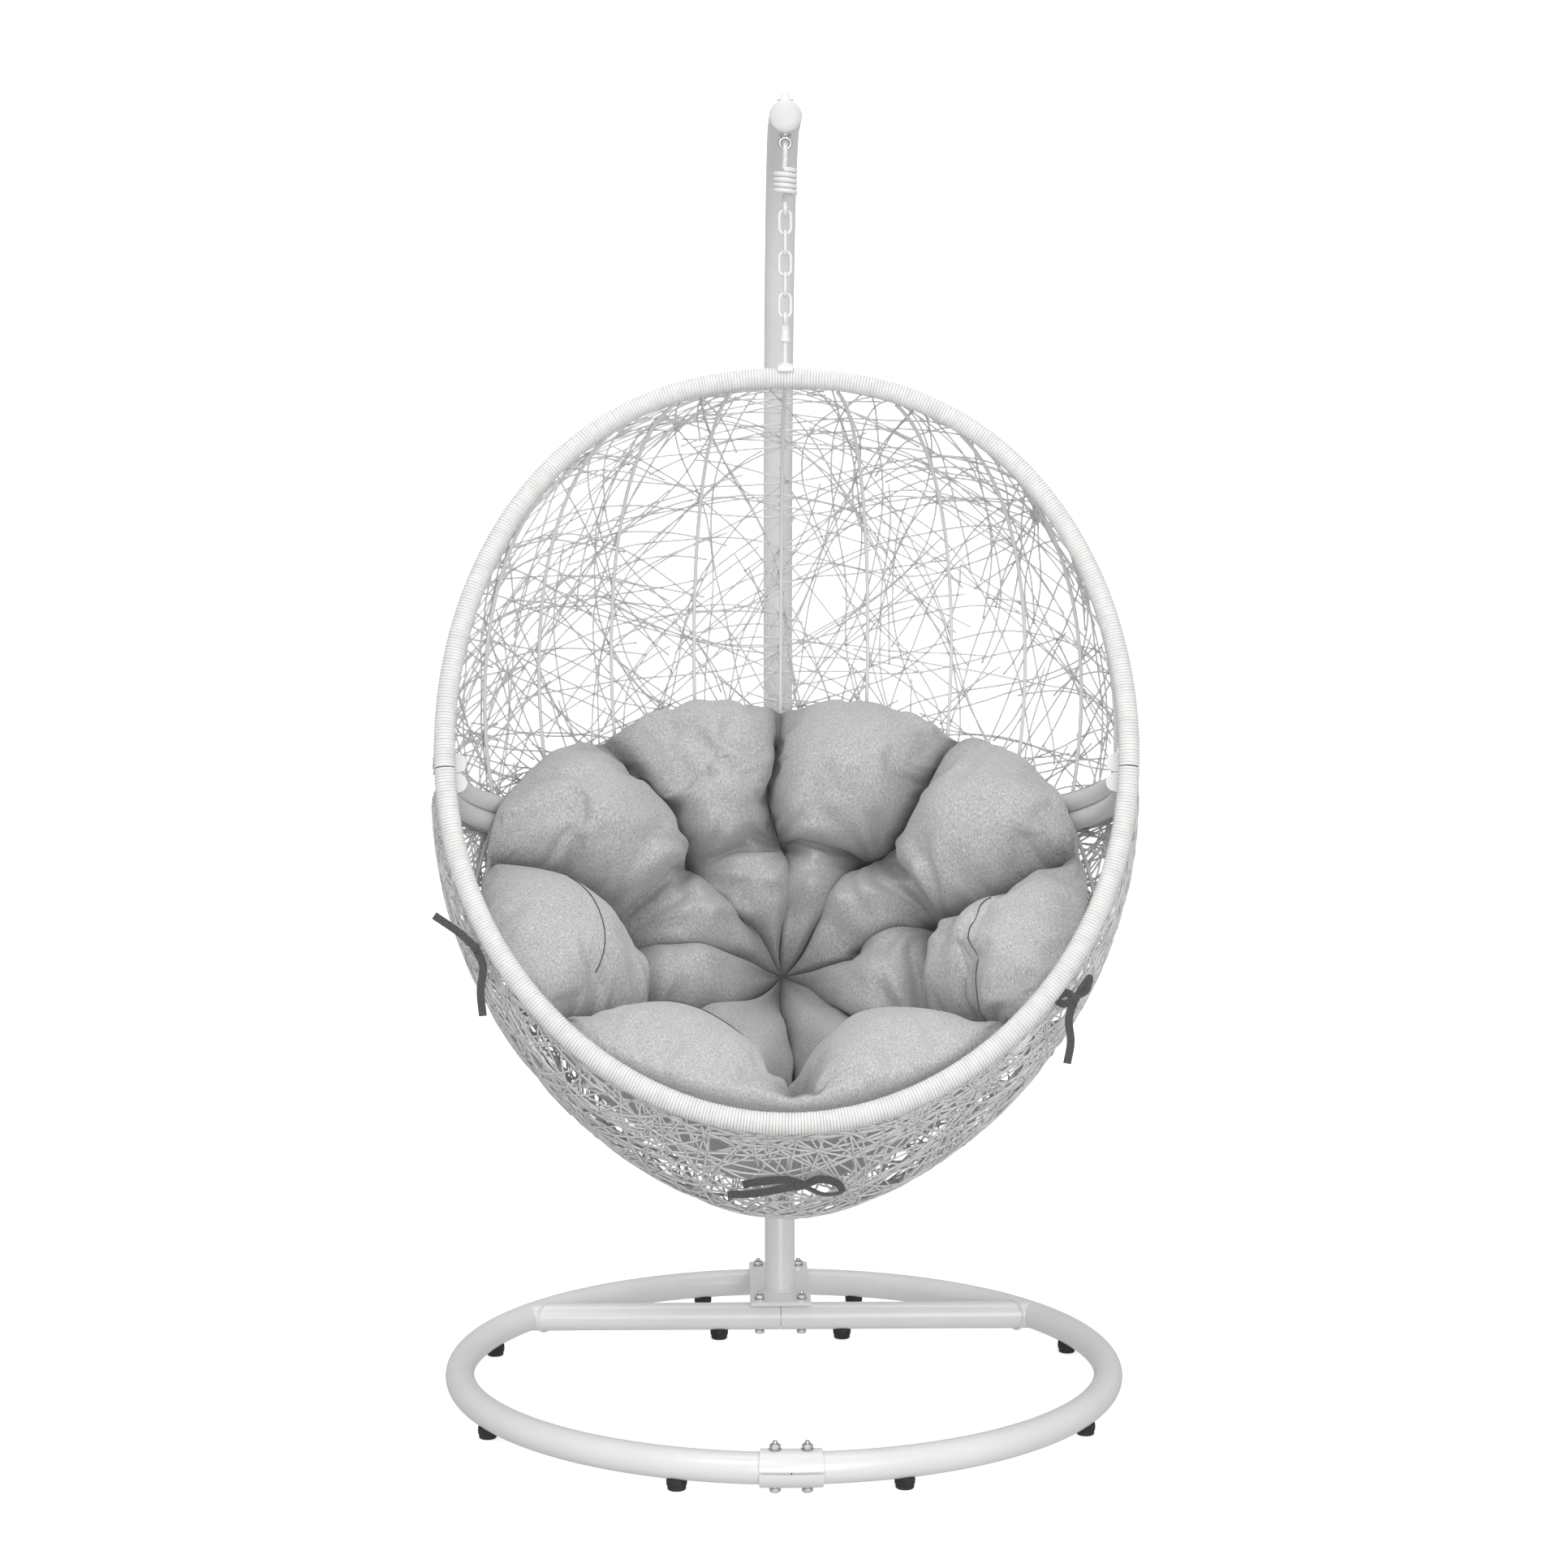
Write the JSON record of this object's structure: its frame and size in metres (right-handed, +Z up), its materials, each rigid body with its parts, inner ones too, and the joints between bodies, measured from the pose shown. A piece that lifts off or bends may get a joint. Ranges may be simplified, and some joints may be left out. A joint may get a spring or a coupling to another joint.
{
  "type": "hanging egg chair",
  "caption": "Hanging egg chair: open wicker egg with a tufted cushion, hung by a tension spring, chain and swivel from a bowed steel post on a tubular ring base.",
  "frame": {"origin": "On the floor, under the middle of the chair's bounding box.", "axes": "+Z is up; the open side of the egg faces -Y; the post stands behind it, on +Y; +X is the sitter's left."},
  "size_m": [1.0198, 1.0478, 1.9176],
  "materials": {
    "white_steel": "white powder coat, satin to glossy",
    "white_wicker": "white synthetic wicker, satin",
    "zinc": "zinc plated",
    "black_rubber": "matt moulded rubber",
    "grey_fabric": "heathered grey woven cloth over padding",
    "dark_fabric": "dark grey ribbed ribbon",
    "cap_plastic": "pale grey moulded plastic"
  },
  "bodies": {
    "stand": {"base_half_left": "white_steel", "base_half_right": "white_steel", "front_clamp_upper": "white_steel", "front_clamp_lower": "white_steel", "post_lower": "white_steel", "post_upper": "white_steel", "eye_nut": "white_steel", "rear_spigot": "zinc", "crossbar_spigot": "zinc", "post_spigot": "zinc", "eye_bolt": "zinc", "clamp_bolt_1": "zinc", "clamp_bolt_2": "zinc", "clamp_nut_1": "zinc", "clamp_nut_2": "zinc", "plate_bolt_1": "zinc", "plate_nut_1": "zinc", "plate_bolt_2": "zinc", "plate_nut_2": "zinc", "plate_bolt_3": "zinc", "plate_nut_3": "zinc", "plate_bolt_4": "zinc", "plate_nut_4": "zinc", "foot_1": "black_rubber", "foot_2": "black_rubber", "foot_3": "black_rubber", "foot_4": "black_rubber", "foot_5": "black_rubber", "foot_6": "black_rubber", "foot_7": "black_rubber", "foot_8": "black_rubber", "foot_9": "black_rubber", "foot_10": "black_rubber", "arm_end_cap": "cap_plastic"},
    "spring_hook": {"spring": "white_steel"},
    "chain_top": {"chain_link_1": "white_steel"},
    "chain": {"chain_link_2": "white_steel", "chain_link_3": "white_steel", "chain_link_4": "white_steel", "chain_link_5": "white_steel", "swivel_eye": "white_steel", "swivel_pin": "zinc"},
    "basket": {"hanger_stem": "white_steel", "upper_rim_core": "white_steel", "upper_rim_wrap": "white_wicker", "lower_rim_core": "white_steel", "lower_rim_wrap": "white_wicker", "upper_cage": "white_steel", "lower_cage": "white_steel", "upper_weave": "white_wicker", "lower_weave": "white_wicker", "cushion": "grey_fabric", "tie_left": "dark_fabric", "tie_right": "dark_fabric", "tie_front": "dark_fabric"}
  },
  "joints": [
    {"name": "spring_swing", "type": "hinge", "parent": "stand", "child": "spring_hook", "pos_m": [0, -0.10035, 1.839], "axis": [1, 0, 0], "range_deg": [-10, 2]},
    {"name": "spring_stretch", "type": "slide", "parent": "spring_hook", "child": "chain_top", "axis": [0, 0, -1], "range_m": [0, 0.012], "stiffness_N_per_m": 60000, "springref_m": -0.0072, "deforming": ["spring"]},
    {"name": "chain_sway", "type": "hinge", "parent": "chain_top", "child": "chain", "pos_m": [0, -0.10035, 1.7135], "axis": [0, 1, 0], "range_deg": [-8, 8]},
    {"name": "swivel_turn", "type": "hinge", "parent": "chain", "child": "basket", "pos_m": [0, -0.10035, 1.56], "axis": [0, 0, 1], "continuous": true}
  ]
}
